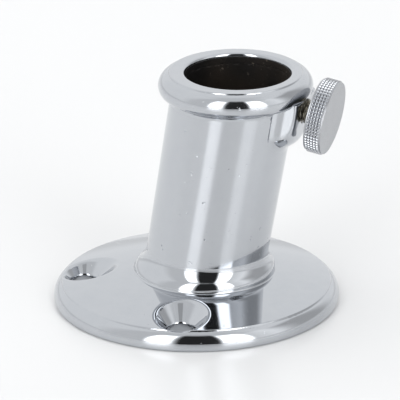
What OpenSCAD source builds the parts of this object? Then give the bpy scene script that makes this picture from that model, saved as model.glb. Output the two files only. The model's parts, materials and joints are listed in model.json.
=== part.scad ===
// Leaning stanchion base for a deck: a round flange, a pole socket that leans
// towards +X, and a thumbscrew that clamps the pole.
// Millimetres, +Z up. The origin is the centre of the flange's underside.

/* [Pole socket] */
// Bore of the socket, for a 25 mm pole
bore_d = 25.4; // [25.2:0.1:25.6]
// Angle that the socket leans from upright
lean = 9.5; // [8:0.5:11]
// Height of the mouth above the deck
mouth_h = 59.5; // [58:0.5:64]
// Outer diameter of the tube where its axis meets the deck
tube_foot_d = 29.2; // [28.8:0.1:29.6]
// Outer diameter of the tube where its axis meets the mouth
tube_mouth_d = 30.6; // [30.2:0.1:31]
// Distance from the flange's centre to where the tube's axis meets the deck
foot_offset = 0.6; // [0:0.1:1]

/* [Deck flange] */
// Outer diameter of the flange
flange_d = 70; // [68:1:76]
// Height of the dome's crown above the deck
dome_h = 9; // [8.6:0.1:9.6]
// Radius of the sphere that the dome is part of
dome_r = 134; // [120:1:150]
// Distance from the rim in to the line where the rounded edge meets the dome
shoulder_in = 2; // [1.6:0.1:2.4]
// Height at which the rounded edge is widest
edge_h = 1.3; // [1:0.1:1.6]

/* [Deck screw holes] */
// Diameter of the circle that the holes are on
hole_circle_d = 55.6; // [54:0.2:57]
// Diameter of each hole
hole_d = 7.1; // [6:0.1:7.6]
// Height above the deck at which the countersink starts
sink_h = 3.1; // [2.8:0.1:3.5]
// Included angle of the countersink
sink_angle = 90; // [80:1:95]
// Directions of the holes round the flange, with 0 towards the lean
hole_angles = [90, 180, 270];

/* [Foot collar] */
// Outer diameter of the collar round the foot of the tube
collar_d = 34; // [33.4:0.1:34.6]
// Height above the deck at which the collar's shoulder starts
collar_h = 8; // [7.8:0.1:9]
// Radius of the collar's rounded shoulder
collar_round = 3.2; // [2.8:0.1:3.6]
// Radius of the hollow that runs from the shoulder up into the tube
collar_hollow = 5; // [4.6:0.1:5.4]

/* [Rim ring] */
// Outer diameter of the ring round the mouth
ring_d = 37.6; // [37.2:0.1:38.2]
// Radius of the ring's rounded outside
ring_round = 3.05; // [2.8:0.05:3.2]
// Distance that the ring is set back from the mouth's centre, against the lean
ring_back = 0.6; // [0:0.1:0.8]
// Thickness of the ring's top, which covers the tube's end
ring_cap = 2.6; // [2:0.1:3]
// Radius of the rounded lip of the bore
lip_round = 0.8; // [0.5:0.1:1]

/* [Thumbscrew boss] */
// Distance along the tube's axis from the mouth down to the screw's axis
screw_drop = 5.3; // [5:0.1:6]
// Turn of the screw round the tube's axis, from the side that the tube leans to
screw_clock = -11.8; // [-20:0.1:20]
// Distance from the tube's axis to the boss's flat face
boss_face = 18.3; // [18.2:0.1:18.4]
// Width across the boss's flat sides
boss_w = 14.6; // [14:0.1:15.2]
// Radius of the boss round the screw's axis
boss_r = 9.6; // [9:0.1:10]
// Radius of the boss's rounded edge
boss_round = 3.6; // [3:0.1:3.8]
// How far the boss reaches up into the ring's underside
boss_cover = 1.5; // [1:0.1:2]
// Diameter of the screw hole
screw_hole_d = 6.1; // [6.06:0.01:6.16]

/* [Thumbscrew] */
// Outside diameter of the thread
thread_d = 6; // [5.9:0.1:6]
// Pitch of the thread
thread_pitch = 1; // [0.8:0.1:1.2]
// Distance from the tube's axis to the stud's tip
stud_tip = 12.75; // [12.72:0.01:13]
// Diameter of the knurled head
head_d = 18.5; // [17:0.1:19]
// Thickness of the head
head_t = 4.25; // [4:0.05:5]
// Distance from the tube's axis to the head's inner face
head_in = 21.05; // [20.8:0.05:22]
// Width of the bevels on the head's edges
head_bevel = 0.35; // [0.2:0.05:0.5]
// Depth to which the stud is seated in the head
seat_depth = 3.2; // [2.8:0.1:3.4]
// Radial gap round the stud's plain end
seat_gap = 0.05; // [0.03:0.01:0.08]

/* [Hidden] */

$fn = 96;
// Facets of the wide dome
dome_fn = 360;
// Length that a cutting shape runs past the surface that it cuts
past = 6;
// Extra size on a shape that only has to reach past another
extra = 1;
// Size of a block that covers the whole part
all_over = 120;

bore_r = bore_d / 2;
flange_r = flange_d / 2;
axis_len = mouth_h / cos(lean);
tube_foot_r = tube_foot_d / 2;
tube_mouth_r = tube_mouth_d / 2;
tube_taper = (tube_mouth_r - tube_foot_r) / axis_len;
// Distance along +X to the tube's axis at the mouth
mouth_x = foot_offset + mouth_h * tan(lean);

// The shoulder line on the dome, and the edge's arc, which is upright at edge_h
// and passes through that line
shoulder_r = flange_r - shoulder_in;
dome_centre = dome_h - dome_r;
shoulder_h = dome_centre + sqrt(dome_r * dome_r - shoulder_r * shoulder_r);
shoulder_rise = shoulder_h - edge_h;
edge_round = (shoulder_in * shoulder_in + shoulder_rise * shoulder_rise) / (2 * shoulder_in);

// The collar is level, and centred on the tube's axis at the middle of its own height.
// Its shoulder arc and hollow arc meet where both slope at collar_slope.
collar_r = collar_d / 2;
collar_middle_h = 10.8;
collar_x = foot_offset + collar_middle_h * tan(lean);
collar_tube_r = tube_foot_r + tube_taper * collar_middle_h;
collar_slope = acos(1 - (collar_r - collar_tube_r) / (collar_round + collar_hollow));
shoulder_centre = collar_r - collar_round;
meet_r = shoulder_centre + collar_round * cos(collar_slope);
meet_h = collar_h + collar_round * sin(collar_slope);
hollow_r = meet_r + collar_hollow * cos(collar_slope);
hollow_h = meet_h + collar_hollow * sin(collar_slope);

ring_r = ring_d / 2;
ring_x = mouth_x - ring_back;
ring_section_r = ring_r - ring_round;
ring_section_h = mouth_h - ring_round;
tube_end_h = mouth_h - ring_cap;

screw_up = axis_len - screw_drop;
boss_top = mouth_h - 2 * ring_round + boss_cover;

screw_hole_r = screw_hole_d / 2;
thread_r = thread_d / 2;
// Depth of a metric thread as a share of its pitch
depth_share = 0.61;
thread_depth = depth_share * thread_pitch;
// Flat widths of a metric thread
thread_crest = thread_pitch / 8;
thread_root = thread_pitch / 4;
thread_flank = (thread_pitch - thread_crest - thread_root) / 2;
// Width of the bevel on the stud's tip
tip_bevel = 0.6;
stud_end = head_in + seat_depth;
// Whole turns of thread between the tip's bevel and the head
thread_turns = floor((head_in - stud_tip - tip_bevel) / thread_pitch);
head_r = head_d / 2;
// Space past the stud's end inside the head
seat_end_gap = 0.2;

// Places children on the tube's axis, with Z along it and the deck at 0
module on_tube_axis() {
    translate([foot_offset, 0, 0])
        rotate([0, lean, 0])
            children();
}

// Places children on the screw's axis, with Z pointing out along it from the tube's axis
module on_screw_axis() {
    on_tube_axis()
        translate([0, 0, screw_up])
            rotate([0, 0, screw_clock])
                rotate([0, 90, 0])
                    children();
}

// Everything between two heights above the deck
module between(low, high) {
    translate([-all_over / 2, -all_over / 2, low])
        cube([all_over, all_over, high - low]);
}

// The tube's outside as a solid, past both of its ends
module tube_outside() {
    on_tube_axis()
        translate([0, 0, -past])
            cylinder(
                h = axis_len + 2 * past,
                r1 = tube_foot_r - tube_taper * past,
                r2 = tube_mouth_r + tube_taper * past
            );
}

module bore() {
    on_tube_axis()
        translate([0, 0, -past])
            cylinder(h = axis_len + 2 * past, r = bore_r);
}

module screw_hole() {
    on_screw_axis()
        cylinder(h = ring_r + past, r = screw_hole_r);
}

// The domed disc with its rounded edge, without holes
module flange_solid() {
    rotate_extrude()
        intersection() {
            union() {
                square([shoulder_r, dome_h + extra]);
                translate([flange_r - edge_round, edge_h])
                    circle(r = edge_round);
            }
            translate([0, dome_centre])
                circle(r = dome_r, $fn = dome_fn);
            square([flange_r + extra, dome_h + extra]);
        }
}

// A countersunk hole for a deck screw
module deck_hole() {
    sink_len = dome_h - sink_h;
    translate([0, 0, -extra])
        cylinder(h = dome_h, d = hole_d);
    translate([0, 0, sink_h])
        cylinder(
            h = sink_len,
            r1 = hole_d / 2,
            r2 = hole_d / 2 + sink_len * tan(sink_angle / 2)
        );
}

// The ring's outside as a solid that fills the mouth
module ring_solid() {
    translate([ring_x, 0, 0])
        rotate_extrude()
            union() {
                translate([0, ring_section_h - ring_round])
                    square([ring_section_r, 2 * ring_round]);
                translate([ring_section_r, ring_section_h])
                    circle(r = ring_round);
            }
}

// What the rounded lip takes off the edge of the bore
module lip_cut() {
    lip_h = mouth_h - lip_round;
    translate([mouth_x - lip_round * tan(lean), 0, 0])
        rotate_extrude()
            difference() {
                translate([0, lip_h])
                    square([bore_r + lip_round, lip_round + extra]);
                translate([bore_r + lip_round, lip_h])
                    circle(r = lip_round);
            }
}

module base_flange() {
    color("lightsteelblue")
        difference() {
            flange_solid();
            tube_outside();
            for (a = hole_angles)
                rotate([0, 0, a])
                    translate([hole_circle_d / 2, 0, 0])
                        deck_hole();
        }
}

module foot_collar() {
    color("silver")
        difference() {
            translate([collar_x, 0, 0])
                rotate_extrude() {
                    square([collar_r, collar_h]);
                    translate([shoulder_centre, collar_h])
                        circle(r = collar_round);
                    difference() {
                        polygon([
                            [0, collar_h],
                            [shoulder_centre, collar_h],
                            [meet_r, meet_h],
                            [hollow_r - collar_hollow, hollow_h],
                            [0, hollow_h]
                        ]);
                        translate([hollow_r, hollow_h])
                            circle(r = collar_hollow);
                    }
                }
            flange_solid();
            tube_outside();
        }
}

module socket_tube() {
    color("gainsboro")
        difference() {
            intersection() {
                tube_outside();
                between(0, tube_end_h);
            }
            bore();
            screw_hole();
        }
}

module rim_ring() {
    color("whitesmoke")
        difference() {
            ring_solid();
            intersection() {
                tube_outside();
                between(0, tube_end_h);
            }
            bore();
            lip_cut();
            screw_hole();
        }
}

module screw_boss() {
    color("silver")
        difference() {
            on_screw_axis()
                intersection() {
                    rotate_extrude() {
                        square([boss_r - boss_round, boss_face]);
                        square([boss_r, boss_face - boss_round]);
                        translate([boss_r - boss_round, boss_face - boss_round])
                            circle(r = boss_round);
                    }
                    translate([-boss_r - extra, -boss_w / 2, bore_r])
                        cube([2 * (boss_r + extra), boss_w, boss_face]);
                }
            tube_outside();
            ring_solid();
            screw_hole();
            between(boss_top, all_over);
        }
}

// The stud's outline: a bevelled tip, thread grooves and a plain end
function thread_points(z) = [
    [thread_r, z],
    [thread_r, z + thread_crest],
    [thread_r - thread_depth, z + thread_crest + thread_flank],
    [thread_r - thread_depth, z + thread_crest + thread_flank + thread_root]
];

module thumbscrew_stud() {
    first_crest = stud_tip + tip_bevel;
    color("darkkhaki")
        on_screw_axis()
            rotate_extrude()
                polygon(concat(
                    [[0, stud_tip], [thread_r - tip_bevel, stud_tip]],
                    [for (i = [0 : thread_turns - 1])
                        each thread_points(first_crest + i * thread_pitch)],
                    [
                        [thread_r, first_crest + thread_turns * thread_pitch],
                        [thread_r, stud_end],
                        [0, stud_end]
                    ]
                ));
}

module thumbscrew_head() {
    head_out = head_in + head_t;
    color("darkgray")
        on_screw_axis()
            difference() {
                rotate_extrude()
                    polygon([
                        [0, head_in],
                        [head_r - head_bevel, head_in],
                        [head_r, head_in + head_bevel],
                        [head_r, head_out - head_bevel],
                        [head_r - head_bevel, head_out],
                        [0, head_out]
                    ]);
                translate([0, 0, head_in - extra])
                    cylinder(
                        h = seat_depth + seat_end_gap + extra,
                        r = thread_r + seat_gap
                    );
            }
}

base_flange();
foot_collar();
socket_tube();
rim_ring();
screw_boss();
thumbscrew_stud();
thumbscrew_head();
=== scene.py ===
"""Looks of the leaning stanchion base: polished casting, knurled thumbscrew, floor, light and camera.

The fixed pieces are meshed from distance fields, so that every fillet is real and smooth.
A field takes an array of points and gives the distance to a surface, negative inside.
"""
import json
import math

import bpy
import numpy as np
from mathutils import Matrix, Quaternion, Vector


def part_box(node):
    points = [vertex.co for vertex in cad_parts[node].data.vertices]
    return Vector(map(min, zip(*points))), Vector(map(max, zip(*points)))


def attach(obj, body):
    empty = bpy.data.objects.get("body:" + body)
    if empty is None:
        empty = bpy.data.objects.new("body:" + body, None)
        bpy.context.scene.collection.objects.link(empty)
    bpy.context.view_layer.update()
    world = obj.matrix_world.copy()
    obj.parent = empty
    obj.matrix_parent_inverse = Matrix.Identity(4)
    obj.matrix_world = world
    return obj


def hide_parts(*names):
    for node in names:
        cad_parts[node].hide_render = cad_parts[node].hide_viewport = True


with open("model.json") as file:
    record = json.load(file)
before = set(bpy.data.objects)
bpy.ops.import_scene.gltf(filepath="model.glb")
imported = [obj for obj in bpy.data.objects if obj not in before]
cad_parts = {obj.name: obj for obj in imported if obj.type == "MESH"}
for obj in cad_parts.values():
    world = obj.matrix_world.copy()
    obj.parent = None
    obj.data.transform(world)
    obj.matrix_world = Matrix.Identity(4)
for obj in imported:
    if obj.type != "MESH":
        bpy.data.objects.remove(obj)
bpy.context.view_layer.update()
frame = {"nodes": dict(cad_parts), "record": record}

MM = 0.001
record = frame["record"]
mounts = {m["name"]: m for m in record["mounts"]}
joints = {j["name"]: j for j in record["behaviour"]["joints"]}


# ---------------------------------------------------------------- the frame's sizes

def node_points(node):
    mesh = frame["nodes"][node].data
    flat = np.empty(len(mesh.vertices) * 3)
    mesh.vertices.foreach_get("co", flat)
    return flat.reshape(-1, 3)


def span(node, origin, axis):
    """How far a node reaches along an axis, and its largest distance from it."""
    away = node_points(node) - origin
    along = away @ axis
    across = np.linalg.norm(away - along[:, None] * axis, axis=1)
    return along.min(), along.max(), across.max()


socket = mounts["pole_socket"]
tube_axis = np.array(socket["axis"])
tube_axis /= np.linalg.norm(tube_axis)
socket_point = np.array(socket["pos_m"])
tube_foot = socket_point - tube_axis * (socket_point[2] / tube_axis[2])
bore_r = socket["dims"]["r_mm"] * MM

screw_axis = np.array(joints["screw_turn"]["axis"])
screw_axis /= np.linalg.norm(screw_axis)
head_centre = np.array(joints["screw_turn"]["pos_m"])
screw_origin = tube_foot + tube_axis * ((head_centre - tube_foot) @ tube_axis)
screw_side = np.cross(tube_axis, screw_axis)

mouth_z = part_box("rim_ring")[1][2]
tube_end_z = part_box("socket_tube")[1][2]
flange_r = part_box("base_flange")[1][0]

ring_low, ring_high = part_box("rim_ring")
ring_centre = np.array([(ring_low[0] + ring_high[0]) / 2, 0.0, 0.0])
ring_r = (ring_high[0] - ring_low[0]) / 2
ring_round = (ring_high[2] - ring_low[2]) / 2

collar_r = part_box("foot_collar")[1][1]
_, boss_face, _ = span("screw_boss", screw_origin, screw_axis)
stud_tip, stud_end, thread_r = span("thumbscrew_stud", screw_origin, screw_axis)
head_in, head_out, head_r = span("thumbscrew_head", screw_origin, screw_axis)
boss_w = 2 * np.abs((node_points("screw_boss") - screw_origin) @ screw_side).max()
boss_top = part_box("screw_boss")[1][2]

side_holes = mounts["side_deck_holes"]["dims"]
hole_r = side_holes["hole_r_mm"] * MM
hole_circle_r = side_holes["spacing_y_mm"] * MM / 2
hole_places = [(0, hole_circle_r), (0, -hole_circle_r), (-hole_circle_r, 0)]


# ---------------------------------------------------------------- details that the frame doesn't state

tube_foot_r = 14.6 * MM
tube_mouth_r = 15.3 * MM
screw_hole_r = 3.05 * MM

# The flange: a dome, a step down at its shoulder, a rounded edge and countersunk holes
dome_h = 9.0 * MM
dome_r = 134.0 * MM
dome_step = 0.28 * MM
shoulder_in = 2.0 * MM
edge_z = 1.3 * MM
sink_z = 3.1 * MM

# The collar: the height of its widest line, and the radii of its shoulder and hollow
collar_z = 8.0 * MM
collar_round = 3.2 * MM
collar_hollow = 5.0 * MM

# The rim: how far its widest line lies below the mouth, and its step's depth and distance from the edge
bead_rise = 3.5 * MM
bead_in = 2.6 * MM
rim_step = 0.4 * MM

boss_r = 9.6 * MM
boss_round = 3.6 * MM

# Blends: how widely two surfaces round into each other
step_blend = 0.2 * MM
shoulder_blend = 0.3 * MM
foot_blend = 0.3 * MM
sink_blend = 0.2 * MM
sink_edge = 0.6 * MM
collar_blend = 0.4 * MM
bore_edge = 0.25 * MM
tube_end_edge = 0.05 * MM
screw_hole_edge = 0.2 * MM
boss_hole_edge = 0.25 * MM
rim_edge = 0.35 * MM
lip_edge = 0.9 * MM
rim_fillet = 1.8 * MM
boss_edge = 0.7 * MM
boss_fillet = 2.4 * MM

# How the pieces meet: a fillet stops at its reach, and its thin end sinks by feather
rim_reach = 1.6 * MM
boss_reach = 2.2 * MM
collar_reach = 1.0 * MM
feather = 0.012 * MM
flange_gap = 0.01 * MM
overlap = 0.4 * MM
rim_overlap = 0.3 * MM
run_out = 0.3


# ---------------------------------------------------------------- fields

def smooth_min(a, b, k):
    h = np.maximum(k - np.abs(a - b), 0) / k
    return np.minimum(a, b) - h * h * k / 4


def smooth_max(a, b, k):
    return -smooth_min(-a, -b, k)


def round_axis(p, origin, axis):
    """Distance along an axis, and distance from it."""
    away = p - origin
    along = away @ axis
    across = np.sqrt(np.maximum((away * away).sum(1) - along * along, 1e-18))
    return along, across


def tube_outside(p):
    along, across = round_axis(p, tube_foot, tube_axis)
    mouth = mouth_z / tube_axis[2]
    return across - tube_foot_r - (tube_mouth_r - tube_foot_r) * along / mouth


def bore(p):
    return round_axis(p, tube_foot, tube_axis)[1] - bore_r


def screw_hole(p):
    along, across = round_axis(p, screw_origin, screw_axis)
    return np.maximum(across - screw_hole_r, -along)


def flange_outside(p):
    """The domed disc: a shallow dome that ends in a small step down to the rounded edge."""
    dome_centre = dome_h - dome_r
    shoulder_r = flange_r - shoulder_in
    shoulder_z = dome_centre + math.sqrt(dome_r ** 2 - shoulder_r ** 2)
    rise = shoulder_z - dome_step - edge_z
    edge_round = (shoulder_in ** 2 + rise ** 2) / (2 * shoulder_in)
    edge_r = flange_r - edge_round
    slope = math.atan2(rise, shoulder_r - edge_r)
    across = np.hypot(p[:, 0], p[:, 1])
    out = across - edge_r
    up = p[:, 2] - edge_z
    arc = np.hypot(out, up) - edge_round
    plane = out * math.cos(slope) + up * math.sin(slope) - edge_round
    edge = np.where(np.arctan2(up, out) > slope, plane, arc)
    edge = np.where(out < 0, plane, edge)
    dome = np.linalg.norm(p - np.array([0, 0, dome_centre]), axis=1) - dome_r
    top = smooth_max(dome, across - shoulder_r, shoulder_blend)
    outer = smooth_max(dome + dome_step, edge, step_blend)
    return smooth_max(smooth_min(top, outer, step_blend), -p[:, 2], foot_blend)


def deck_holes(p):
    """Holes with 90 degree countersinks."""
    nearest = np.full(len(p), 1.0)
    for x, y in hole_places:
        across = np.hypot(p[:, 0] - x, p[:, 1] - y)
        sink = (across - hole_r - (p[:, 2] - sink_z)) * math.sqrt(0.5)
        nearest = np.minimum(nearest, smooth_min(across - hole_r, sink, sink_blend))
    return nearest


def flange(p):
    body = smooth_max(flange_outside(p), -deck_holes(p), sink_edge)
    return np.maximum(body, -(tube_outside(p) - flange_gap))


def collar_swell(z):
    """How far the collar stands out from the tube at a height: a rounded shoulder that runs into a hollow."""
    swell = collar_r - tube_foot_r
    slope = math.acos(1 - swell / (collar_round + collar_hollow))
    meet_z = collar_z + collar_round * math.sin(slope)
    end_z = meet_z + collar_hollow * math.sin(slope)
    up = np.clip(z - collar_z, 0, meet_z - collar_z)
    shoulder = swell - collar_round + np.sqrt(collar_round ** 2 - up ** 2)
    down = np.clip(end_z - z, 0, end_z - meet_z)
    hollow = collar_hollow - np.sqrt(collar_hollow ** 2 - down ** 2)
    past_end = run_out * np.maximum(z - end_z, 0)
    return np.where(z < meet_z, shoulder, hollow) - past_end


def collar(p):
    tube_out = tube_outside(p)
    flange_out = flange_outside(p)
    body = smooth_min(tube_out - collar_swell(p[:, 2]), flange_out, collar_blend) + feather
    body = np.maximum(body, tube_out - (collar_r - tube_foot_r) - collar_reach)
    body = np.maximum(body, -(tube_out + overlap))
    return np.maximum(body, -(flange_out + overlap))


def tube(p):
    body = smooth_max(tube_outside(p), -bore(p), bore_edge)
    body = smooth_max(body, p[:, 2] - tube_end_z, tube_end_edge)
    body = smooth_max(body, -p[:, 2], foot_blend)
    return smooth_max(body, -screw_hole(p), screw_hole_edge)


def ring_outside(p):
    """A flat top that ends in a small step down to the bead, which is widest bead_rise below the mouth."""
    rise = bead_rise - rim_step
    upper_round = (bead_in ** 2 + rise ** 2) / (2 * bead_in)
    lower_round = 2 * ring_round - bead_rise
    across = np.hypot(p[:, 0] - ring_centre[0], p[:, 1])
    up = p[:, 2] - (mouth_z - bead_rise)
    upper = np.hypot(np.maximum(across - (ring_r - upper_round), 0), up) - upper_round
    lower = np.hypot(np.maximum(across - (ring_r - lower_round), 0), up) - lower_round
    bead = np.where(up > 0, upper, lower)
    top = smooth_max(across - (ring_r - bead_in), p[:, 2] - mouth_z, rim_edge)
    top = np.maximum(top, -up)
    return smooth_min(top, bead, step_blend)


def ring(p):
    """The rim, with a small fillet where its underside meets the tube."""
    raw = ring_outside(p)
    tube_out = tube_outside(p)
    fillet = np.maximum(smooth_min(raw, tube_out, rim_fillet) + feather, raw - rim_reach)
    body = np.where(p[:, 2] < mouth_z - bead_rise, fillet, raw)
    body = smooth_max(body, -bore(p), lip_edge)
    under = np.maximum(tube_out + rim_overlap, p[:, 2] - tube_end_z)
    body = np.maximum(body, -under)
    return smooth_max(body, -screw_hole(p), screw_hole_edge)


def boss_outside(p):
    """A round pad with two flat flanks."""
    along, across = round_axis(p, screw_origin, screw_axis)
    out = across - (boss_r - boss_round)
    up = along - (boss_face - boss_round)
    inner = np.minimum(np.maximum(out, up), 0)
    disc = np.hypot(np.maximum(out, 0), np.maximum(up, 0)) + inner - boss_round
    flank = np.abs((p - screw_origin) @ screw_side) - boss_w / 2
    return smooth_max(disc, flank, boss_edge)


def boss(p):
    raw = boss_outside(p)
    tube_out = tube_outside(p)
    body = smooth_min(raw, tube_out, boss_fillet) + feather
    body = np.maximum(body, raw - boss_reach)
    body = np.maximum(body, p[:, 2] - boss_top)
    body = np.maximum(body, -(tube_out + overlap))
    body = np.maximum(body, bore_r - (p - screw_origin) @ screw_axis)
    return smooth_max(body, -screw_hole(p), boss_hole_edge)


# ---------------------------------------------------------------- meshing

NUDGES = 5
NUDGE_STEP = 0.002 * MM
NORMAL_STEP = 0.02 * MM


def mesh_object(name, points, faces):
    mesh = bpy.data.meshes.new(name)
    mesh.from_pydata(points, [], faces)
    mesh.update()
    made = bpy.data.objects.new(name, mesh)
    bpy.context.scene.collection.objects.link(made)
    return made


def shade_smooth(piece):
    polygons = piece.data.polygons
    polygons.foreach_set("use_smooth", np.ones(len(polygons), bool))


def gradient(field, p, step):
    g = np.empty_like(p)
    for axis in range(3):
        shift = np.zeros(3)
        shift[axis] = step
        g[:, axis] = (field(p + shift) - field(p - shift)) / (2 * step)
    return g


def surface_net(field, low, high, cell):
    """A closed quad mesh of a field's zero surface: one vertex for each grid cell that it passes through."""
    counts = np.ceil((high - low) / cell).astype(int) + 1
    lines = [low[i] + cell * np.arange(counts[i]) for i in range(3)]
    grid = np.stack(np.meshgrid(*lines, indexing="ij"), -1)
    value = field(grid.reshape(-1, 3)).reshape(counts)
    total = np.zeros(tuple(counts - 1) + (3,))
    hits = np.zeros(tuple(counts - 1))

    def corner(offset):
        return tuple(slice(o, o + n - 1) for o, n in zip(offset, counts))

    # The middle of the places where the surface crosses a cell's edges
    for axis in range(3):
        for u in (0, 1):
            for v in (0, 1):
                start = [0, 0, 0]
                start[(axis + 1) % 3], start[(axis + 2) % 3] = u, v
                end = list(start)
                end[axis] = 1
                a, b = value[corner(start)], value[corner(end)]
                crossed = (a < 0) != (b < 0)
                share = np.where(crossed, a / np.where(crossed, a - b, 1), 0)
                point = np.array(start, float) + share[..., None] * (np.array(end) - np.array(start))
                total += point * crossed[..., None]
                hits += crossed
    used = hits > 0
    number = np.full(used.shape, -1)
    number[used] = np.arange(used.sum())
    cells = np.argwhere(used)
    points = low + cell * (cells + total[used] / hits[used][:, None])

    # A quad round each grid edge that the surface crosses
    faces = []
    inside = value < 0
    for axis in range(3):
        u, v = (axis + 1) % 3, (axis + 2) % 3
        ahead = [slice(None)] * 3
        ahead[axis] = slice(1, None)
        behind = [slice(None)] * 3
        behind[axis] = slice(None, -1)
        change = inside[tuple(behind)].astype(int) - inside[tuple(ahead)].astype(int)
        for sign in (1, -1):
            at = np.argwhere(change == sign)
            at = at[(at[:, u] > 0) & (at[:, v] > 0)]
            corners = []
            for du, dv in ((-1, -1), (0, -1), (0, 0), (-1, 0)):
                c = at.copy()
                c[:, u] += du
                c[:, v] += dv
                corners.append(number[c[:, 0], c[:, 1], c[:, 2]])
            quad = np.stack(corners, 1)
            faces.append(quad if sign > 0 else quad[:, ::-1])
    faces = np.concatenate(faces)

    # Each nudge moves the points towards the exact surface, by half a cell at most
    for _ in range(NUDGES):
        g = gradient(field, points, NUDGE_STEP)
        move = -field(points)[:, None] * g / np.maximum((g * g).sum(1), 0.2)[:, None]
        far = np.linalg.norm(move, axis=1)
        points += move * np.minimum(1, 0.5 * cell / np.maximum(far, 1e-12))[:, None]
    normals = gradient(field, points, NORMAL_STEP)
    normals /= np.maximum(np.linalg.norm(normals, axis=1), 1e-9)[:, None]
    return points, faces, normals


def cast_piece(name, node, field, cell, spare):
    """A node's piece, meshed from its field, with the field's own normals."""
    low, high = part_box(node)
    points, faces, normals = surface_net(field, np.array(low) - spare, np.array(high) + spare, cell)
    piece = mesh_object(name, points.tolist(), faces.tolist())
    shade_smooth(piece)
    piece.data.normals_split_custom_set_from_vertices(normals.tolist())
    return piece


# ---------------------------------------------------------------- materials

# Colours are linear RGB. Noise scales count features for each metre.
CHROME_DULL, CHROME_BRIGHT = (0.51, 0.53, 0.56), (0.565, 0.58, 0.605)
# The bore's near-black is painted shade for the deep, unlit inside of the tube; its stain and specks vary at
# random
BORE_PAINTED_SHADE, BORE_STAIN, BORE_SPECK = (0.011, 0.0098, 0.009), (0.03, 0.022, 0.016), (0.13, 0.11, 0.09)
SATIN_DULL, SATIN_BRIGHT = (0.4, 0.41, 0.43), (0.46, 0.47, 0.49)
STUD_GRIME, STUD_BRIGHT = (0.11, 0.1, 0.08), (0.46, 0.43, 0.35)
PAPER_DULL, PAPER_BRIGHT = (0.7, 0.7, 0.7), (0.72, 0.72, 0.72)

# How far down the bore the bright lip goes, above the painted shade
lip_h = 0.75 * MM


class Nodes:
    """A short way to write a material's node tree."""

    def __init__(self, name):
        self.material = bpy.data.materials.new(name)
        self.material.use_nodes = True
        self.tree = self.material.node_tree
        self.shader = self.tree.nodes["Principled BSDF"]
        self.place = self.add("ShaderNodeTexCoord").outputs["Object"]

    def add(self, kind, inputs=None, **settings):
        made = self.tree.nodes.new(kind)
        for key, value in settings.items():
            setattr(made, key, value)
        for key, value in (inputs or {}).items():
            if isinstance(value, bpy.types.NodeSocket):
                self.tree.links.new(value, made.inputs[key])
            else:
                made.inputs[key].default_value = value
        return made

    def noise(self, scale, detail=3.0, roughness=0.5):
        inputs = {"Vector": self.place, "Scale": scale, "Detail": detail, "Roughness": roughness}
        return self.add("ShaderNodeTexNoise", inputs).outputs["Fac"]

    def ramp(self, value, low, high, to_low=0, to_high=1):
        inputs = {"Value": value, "From Min": low, "From Max": high, "To Min": to_low, "To Max": to_high}
        return self.add("ShaderNodeMapRange", inputs).outputs["Result"]

    def colours(self, value, low, high):
        """A mix of two colours, which are RGB values or other nodes' outputs."""
        ends = [end if isinstance(end, bpy.types.NodeSocket) else (*end, 1) for end in (low, high)]
        inputs = {0: value, 6: ends[0], 7: ends[1]}
        return self.add("ShaderNodeMix", inputs, data_type="RGBA").outputs[2]

    def mix(self, value, low, high):
        return self.add("ShaderNodeMix", {0: value, 2: low, 3: high}, data_type="FLOAT").outputs[0]

    def maths(self, kind, a, b):
        return self.add("ShaderNodeMath", {0: a, 1: b}, operation=kind).outputs[0]

    def vectors(self, kind, a, b=None):
        """A vector, or the number that a dot product or a length gives."""
        inputs = {0: a} if b is None else {0: a, 1: b}
        made = self.add("ShaderNodeVectorMath", inputs, operation=kind)
        return made.outputs["Value" if kind in ("DOT_PRODUCT", "LENGTH") else "Vector"]

    def bump(self, height, strength, distance, before=None):
        inputs = {"Height": height, "Strength": strength, "Distance": distance}
        if before:
            inputs["Normal"] = before
        return self.add("ShaderNodeBump", inputs).outputs["Normal"]

    def surface(self, metallic, **linked):
        for key, value in {"metallic": metallic, **linked}.items():
            socket_name = key.replace("_", " ").title()
            if isinstance(value, bpy.types.NodeSocket):
                self.tree.links.new(value, self.shader.inputs[socket_name])
            else:
                self.shader.inputs[socket_name].default_value = value
        return self.material


def chrome_look(n, smooth, hazy, pit_level):
    """Plated casting: faint waves left by polishing, a few casting pits, and slightly hazy patches."""
    waves = n.noise(scale=70, detail=1.0)
    pits = n.ramp(n.noise(scale=620, detail=2.0, roughness=0.6), pit_level - 0.07, pit_level)
    normal = n.bump(waves, strength=0.25, distance=0.08 * MM)
    normal = n.bump(pits, strength=0.7, distance=0.08 * MM, before=normal)
    haze = n.noise(scale=240, detail=4.0, roughness=0.7)
    colour = n.colours(haze, CHROME_DULL, CHROME_BRIGHT)
    return colour, n.ramp(haze, 0.3, 0.8, smooth, hazy), normal


def polished_chrome():
    n = Nodes("polished_chrome")
    colour, roughness, normal = chrome_look(n, smooth=0.04, hazy=0.09, pit_level=0.275)
    return n.surface(1.0, base_color=colour, roughness=roughness, normal=normal)


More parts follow.
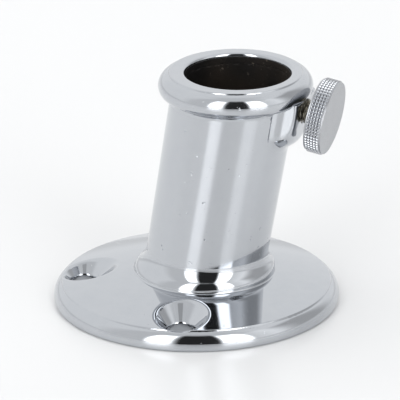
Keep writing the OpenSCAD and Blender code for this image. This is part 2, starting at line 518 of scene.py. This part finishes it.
def socket_chrome():
    """Chrome outside. Inside the bore: unpolished metal whose nearly black colour is painted shade, with
    brownish specks.
    """
    n = Nodes("socket_chrome")
    colour, roughness, normal = chrome_look(n, smooth=0.07, hazy=0.12, pit_level=0.31)
    specks = n.ramp(n.noise(scale=900, detail=3.0, roughness=0.6), 0.65, 0.72)
    stain = n.ramp(n.noise(scale=90, detail=1.0), 0.4, 0.7)
    # Painted shade for the bore's dark inside, varied by random stain and specks
    dark = n.colours(stain, BORE_PAINTED_SHADE, BORE_STAIN)
    dark = n.colours(specks, dark, BORE_SPECK)
    rough = n.noise(scale=700, detail=4.0, roughness=0.6)

    # Inside means near the bore's wall and below the lip; there the colour is painted shade, near black
    away = n.vectors("SUBTRACT", n.place, tuple(tube_foot))
    along = n.vectors("DOT_PRODUCT", away, tuple(tube_axis))
    on_axis = n.add("ShaderNodeVectorMath", {0: tuple(tube_axis), "Scale": along}, operation="SCALE")
    across = n.vectors("LENGTH", n.vectors("SUBTRACT", away, on_axis.outputs[0]))
    height = n.add("ShaderNodeSeparateXYZ", {0: n.place}).outputs["Z"]
    wall = n.ramp(across, bore_r + 0.55 * MM, bore_r + 0.25 * MM)
    low = n.ramp(height, mouth_z - lip_h, mouth_z - lip_h - 0.2 * MM)
    inside = n.maths("MULTIPLY", wall, low)
    return n.surface(
        n.mix(inside, 1.0, 0.5),
        base_color=n.colours(inside, colour, dark),
        roughness=n.mix(inside, roughness, n.ramp(rough, 0.3, 0.7, 0.5, 0.75)),
        normal=normal,
    )


def satin_chrome(name, smooth, hazy):
    """The head's face and knurl: plated over a fine turned finish."""
    n = Nodes(name)
    grain = n.noise(scale=2600, detail=3.0, roughness=0.6)
    blush = n.noise(scale=160, detail=2.0)
    return n.surface(
        1.0,
        base_color=n.colours(blush, SATIN_DULL, SATIN_BRIGHT),
        roughness=n.ramp(grain, 0.3, 0.7, smooth, hazy),
        normal=n.bump(grain, strength=0.25, distance=0.02 * MM),
    )


def stud_metal():
    """The stud's duller, yellowish metal, with darker patches of grease at random."""
    n = Nodes("stud_metal")
    grime = n.noise(scale=800, detail=3.0, roughness=0.6)
    return n.surface(
        1.0,
        base_color=n.colours(n.ramp(grime, 0.35, 0.65), STUD_GRIME, STUD_BRIGHT),
        roughness=n.ramp(grime, 0.3, 0.7, 0.22, 0.42),
        normal=n.bump(grime, strength=0.3, distance=0.03 * MM),
    )


cast_metal = polished_chrome()
socket_metal = socket_chrome()
face_metal = satin_chrome("satin_chrome", smooth=0.26, hazy=0.4)
knurl_metal = satin_chrome("knurl_chrome", smooth=0.16, hazy=0.25)
shaft_metal = stud_metal()


def finish_piece(piece, node, body, slot, *metals):
    for metal in metals:
        piece.data.materials.append(metal)
    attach(piece, body)
    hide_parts(node)


# ---------------------------------------------------------------- the fixed pieces

# Name, node, field, grid cell, room left round the node's box, and metal
for piece_name, node, field, cell, spare, metal in (
    ("flange_casting", "base_flange", flange, 0.33 * MM, 1 * MM, cast_metal),
    ("collar_casting", "foot_collar", collar, 0.25 * MM, 3 * MM, cast_metal),
    ("tube_wall", "socket_tube", tube, 0.4 * MM, 1 * MM, socket_metal),
    ("rim_casting", "rim_ring", ring, 0.25 * MM, 2 * MM, socket_metal),
    ("boss_casting", "screw_boss", boss, 0.2 * MM, 3 * MM, cast_metal),
):
    piece = cast_piece(piece_name, node, field, cell, spare)
    finish_piece(piece, node, "socket_base", "polished_chrome", metal)


# ---------------------------------------------------------------- the thumbscrew

SHARP_ANGLE = math.radians(25)


def turned_grid(radius, along, turns):
    """Points round the screw's axis: radius and along are arrays with one row for each ring."""
    angle = np.linspace(0, 2 * math.pi, turns, endpoint=False)
    up, aside = radius * np.cos(angle), radius * np.sin(angle)
    return (
        screw_origin
        + along[..., None] * screw_axis
        + up[..., None] * tube_axis
        + aside[..., None] * screw_side
    ).reshape(-1, 3)


def ring_faces(rings, turns):
    """Quads between neighbouring rings."""
    i, j = np.meshgrid(np.arange(rings - 1), np.arange(turns), indexing="ij")
    a, b = i * turns + j, i * turns + (j + 1) % turns
    return np.stack([a, b, b + turns, a + turns], -1).reshape(-1, 4)


def turned_piece(name, radius, along, turns):
    """A piece turned about the screw's axis: radius has one row for each ring, and along one value."""
    rings = len(along)
    points = turned_grid(radius, np.repeat(along[:, None], turns, 1), turns)
    ends = np.array([screw_origin + along[k] * screw_axis for k in (0, -1)])
    points = np.vstack([points, ends])
    faces = ring_faces(rings, turns).tolist()
    first, last = rings * turns, rings * turns + 1
    for j in range(turns):
        faces.append((first, (j + 1) % turns, j))
        faces.append((last, (rings - 1) * turns + j, (rings - 1) * turns + (j + 1) % turns))
    piece = mesh_object(name, points.tolist(), faces)
    shade_smooth(piece)
    piece.data.set_sharp_from_angle(angle=SHARP_ANGLE)
    return piece


def knurled_head():
    """A disc with bevelled edges, and rows of small pyramids round its rim."""
    teeth, rows, steps = 64, 5, 8
    depth = 0.32 * MM
    flat_top = 0.45
    bevel = 0.35 * MM
    face_rings = np.array([0.2, 0.5, 0.8, 0.97, 1.0])
    turns = teeth * steps
    just_inside = 0.999
    rim_r = head_r * just_inside
    rim = np.linspace(head_in + bevel, head_out - bevel, rows * steps + 1)

    def rise(phase):
        """0 at a groove and 1 half way to the next one."""
        return 1 - np.abs(2 * (phase % 1) - 1)

    round_phase = np.arange(turns)[None, :] / steps
    cross_phase = np.arange(rows * steps + 1)[:, None] / steps
    peak = np.minimum(rise(round_phase), rise(cross_phase))
    cut = depth * (1 - np.minimum(peak / (1 - flat_top), 1))
    face_r = np.repeat((face_rings * (rim_r - bevel))[:, None], turns, 1)
    radius = np.vstack([face_r, rim_r - cut, face_r[::-1]])
    on_face = len(face_rings)
    along = np.concatenate([np.full(on_face, head_in), rim, np.full(on_face, head_out)])
    piece = turned_piece("head_knurled", radius, along, turns)

    # The knurl's faces, between the two bevels, get the second material
    ring = np.arange(len(piece.data.polygons)) // turns
    is_rim = (ring >= on_face) & (ring < on_face + rows * steps)
    piece.data.polygons.foreach_set("material_index", is_rim.astype(np.int32))
    return piece


def threaded_stud():
    """A shaft with a real helical thread, a bevelled tip and a plain end inside the head."""
    pitch, depth, turns, step = 1.0 * MM, 0.61 * MM, 72, 0.06 * MM
    half_crest, half_root = 1 / 16, 1 / 8
    tip_bevel = 0.6 * MM
    fade_past, fade_length = 0.3 * MM, 0.5 * MM
    along = np.arange(stud_tip, stud_end, step)
    along[-1] = stud_end
    angle = np.linspace(0, 2 * math.pi, turns, endpoint=False)
    phase = (along[:, None] / pitch - angle[None, :] / (2 * math.pi)) % 1
    groove = np.clip((np.abs(phase - 0.5) - half_crest) / (0.5 - half_crest - half_root), 0, 1)
    fade = np.clip((head_in + fade_past - along) / fade_length, 0, 1)[:, None]
    radius = thread_r - depth * groove * fade
    bevel = np.clip((stud_tip + tip_bevel - along) / tip_bevel, 0, 1)[:, None]
    radius = np.minimum(radius, thread_r - tip_bevel * bevel)
    return turned_piece("stud_threaded", radius, along, turns)


head = knurled_head()
finish_piece(head, "thumbscrew_head", "screw_head", "satin_chrome", face_metal, knurl_metal)
shaft = threaded_stud()
finish_piece(shaft, "thumbscrew_stud", "screw_stud", "stud_metal", shaft_metal)


# ---------------------------------------------------------------- floor, light and camera

# Each row: degrees round from the front towards +X, half width, lowest and highest elevation, and
# edge softness, all in degrees, and the light it adds
PANELS = (
    (9, 18, -8, 66, 3, -0.79),
    (-23, 10, 3, 58, 3, 3.0),
    (41, 12, 3, 58, 3, 2.8),
    (68, 14, 5, 55, 9, 0.25),
    (112, 24, 5, 50, 14, -0.46),
    (130, 60, 5, 75, 12, 0.2),
    (-130, 60, 5, 75, 12, 0.2),
)
ROOM_LIGHT = 0.82
DARKEST = 0.02
ROOM_TINT = (0.98, 0.99, 1.0, 1)
HEIGHT_SOFTNESS = 0.06


def pale_floor():
    """A disc of smooth paper. The tube mirrors it, and shows the panels that its slight gloss picks up."""
    floor_r, rings, turns = 6.0, 24, 64
    points = [(0, 0, 0)]
    for i in range(1, rings + 1):
        r = floor_r * (i / rings) ** 2
        for j in range(turns):
            a = 2 * math.pi * j / turns
            points.append((r * math.cos(a), r * math.sin(a), 0))
    faces = [(0, 1 + j, 1 + (j + 1) % turns) for j in range(turns)]
    for i in range(rings - 1):
        for j in range(turns):
            a, b = 1 + i * turns + j, 1 + i * turns + (j + 1) % turns
            faces.append((a, a + turns, b + turns, b))
    floor = mesh_object("floor", points, faces)
    n = Nodes("floor_paper")
    paper = n.colours(n.noise(scale=3, detail=2.0), PAPER_DULL, PAPER_BRIGHT)
    floor.data.materials.append(n.surface(0.0, base_color=paper, roughness=0.25))


def studio_world():
    """A pale room: a dark gap in front between two bright panels, and softer changes at the sides."""
    world = bpy.data.worlds.new("studio")
    bpy.context.scene.world = world
    world.use_nodes = True
    tree = world.node_tree
    add, link = tree.nodes.new, tree.links.new

    def maths(kind, *values):
        made = add("ShaderNodeMath")
        made.operation = kind
        for i, value in enumerate(values):
            if isinstance(value, bpy.types.NodeSocket):
                link(value, made.inputs[i])
            else:
                made.inputs[i].default_value = value
        return made.outputs[0]

    def band(value, low, high, soft):
        """1 between two limits, with soft edges."""
        parts = []
        for start, end in ((low - soft, low + soft), (high + soft, high - soft)):
            ramp = add("ShaderNodeMapRange")
            ramp.interpolation_type = "SMOOTHSTEP"
            link(value, ramp.inputs["Value"])
            ramp.inputs["From Min"].default_value = start
            ramp.inputs["From Max"].default_value = end
            parts.append(ramp.outputs["Result"])
        return maths("MULTIPLY", *parts)

    split = add("ShaderNodeSeparateXYZ")
    link(add("ShaderNodeTexCoord").outputs["Generated"], split.inputs[0])
    east, north, up = split.outputs
    turn = maths("ARCTAN2", east, maths("MULTIPLY", north, -1.0))

    def panel(azimuth, half_width, low, high, soft, level):
        middle = math.radians(azimuth)
        half = math.radians(half_width)
        wide = band(turn, middle - half, middle + half, math.radians(soft))
        tall = band(up, math.sin(math.radians(low)), math.sin(math.radians(high)), HEIGHT_SOFTNESS)
        return maths("MULTIPLY", maths("MULTIPLY", wide, tall), level)

    light = ROOM_LIGHT
    for row in PANELS:
        light = maths("ADD", light, panel(*row))
    light = maths("MAXIMUM", light, DARKEST)
    background = tree.nodes["Background"]
    link(light, background.inputs["Strength"])
    background.inputs["Color"].default_value = ROOM_TINT


def top_light():
    """Wide, soft light from above, hidden from reflections, where it would show as a rectangle."""
    place, aim = Vector((-0.3, 0.1, 1.1)), Vector((0, 0, 0.03))
    data = bpy.data.lights.new("top_light", "AREA")
    data.shape = "RECTANGLE"
    data.size, data.size_y = 1.5, 1.5
    data.energy = 6.0
    lamp = bpy.data.objects.new("top_light", data)
    lamp.location = place
    lamp.visible_glossy = False
    lamp.rotation_mode = "QUATERNION"
    lamp.rotation_quaternion = (aim - place).to_track_quat("-Z", "Y")
    bpy.context.scene.collection.objects.link(lamp)


def photo_camera():
    """A long lens, a little to one side of the lean and well above the deck."""
    distance = 1.237
    azimuth, elevation = math.radians(8.0), math.radians(22.4)
    aim = Vector((0.00102, 0.00014, 0.0256))
    roll = -0.008
    data = bpy.data.cameras.new("camera")
    data.sensor_width = 36.0
    data.lens = 452.7
    data.clip_start, data.clip_end = 0.05, 30
    camera = bpy.data.objects.new("camera", data)
    camera.location = (
        distance * math.sin(azimuth) * math.cos(elevation),
        -distance * math.cos(azimuth) * math.cos(elevation),
        distance * math.sin(elevation),
    )
    camera.rotation_mode = "QUATERNION"
    look = (aim - camera.location).to_track_quat("-Z", "Y")
    camera.rotation_quaternion = look @ Quaternion((0, 0, 1), roll)
    bpy.context.scene.collection.objects.link(camera)
    bpy.context.scene.camera = camera


pale_floor()
studio_world()
top_light()
photo_camera()
bpy.context.scene.view_settings.view_transform = "Standard"
